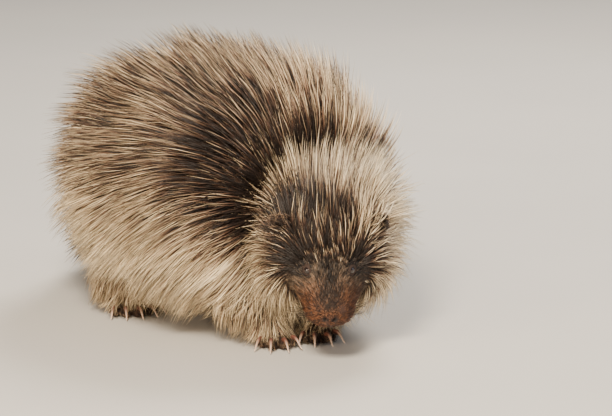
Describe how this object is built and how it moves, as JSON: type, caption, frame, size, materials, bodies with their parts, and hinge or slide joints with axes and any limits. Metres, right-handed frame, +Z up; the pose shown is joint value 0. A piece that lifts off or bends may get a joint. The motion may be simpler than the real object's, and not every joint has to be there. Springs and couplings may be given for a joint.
{
  "type": "north american porcupine",
  "caption": "Life-size North American porcupine standing with lowered head, its long guard hair in overlapping locks, quilled tail laid on the floor.",
  "frame": {"origin": "floor level, under the middle of the animal's bounds", "axes": "-Y ahead along the body, +X to the animal's left, +Z up"},
  "size_m": [0.3456, 0.611, 0.3335],
  "materials": {
    "coat": "long guard hair, dark at the roots and straw blond at the tips",
    "face": "short reddish-brown fur",
    "quills": "pale quills with dark tips over stiff brown hair",
    "ears": "short black-brown fur",
    "eyes": "wet black-brown eye",
    "paws": "dark bare sole and toes with horn claws"
  },
  "bodies": {
    "root": {"head": "face", "neck": "coat", "torso": "coat", "tail": "quills", "ear_right": "ears", "ear_left": "ears", "eye_right": "eyes", "eye_left": "eyes", "foreleg_right": "coat", "foreleg_left": "coat", "hindleg_right": "coat", "hindleg_left": "coat", "forefoot_right": "paws", "forefoot_left": "paws", "hindfoot_right": "paws", "hindfoot_left": "paws"}
  },
  "joints": []
}
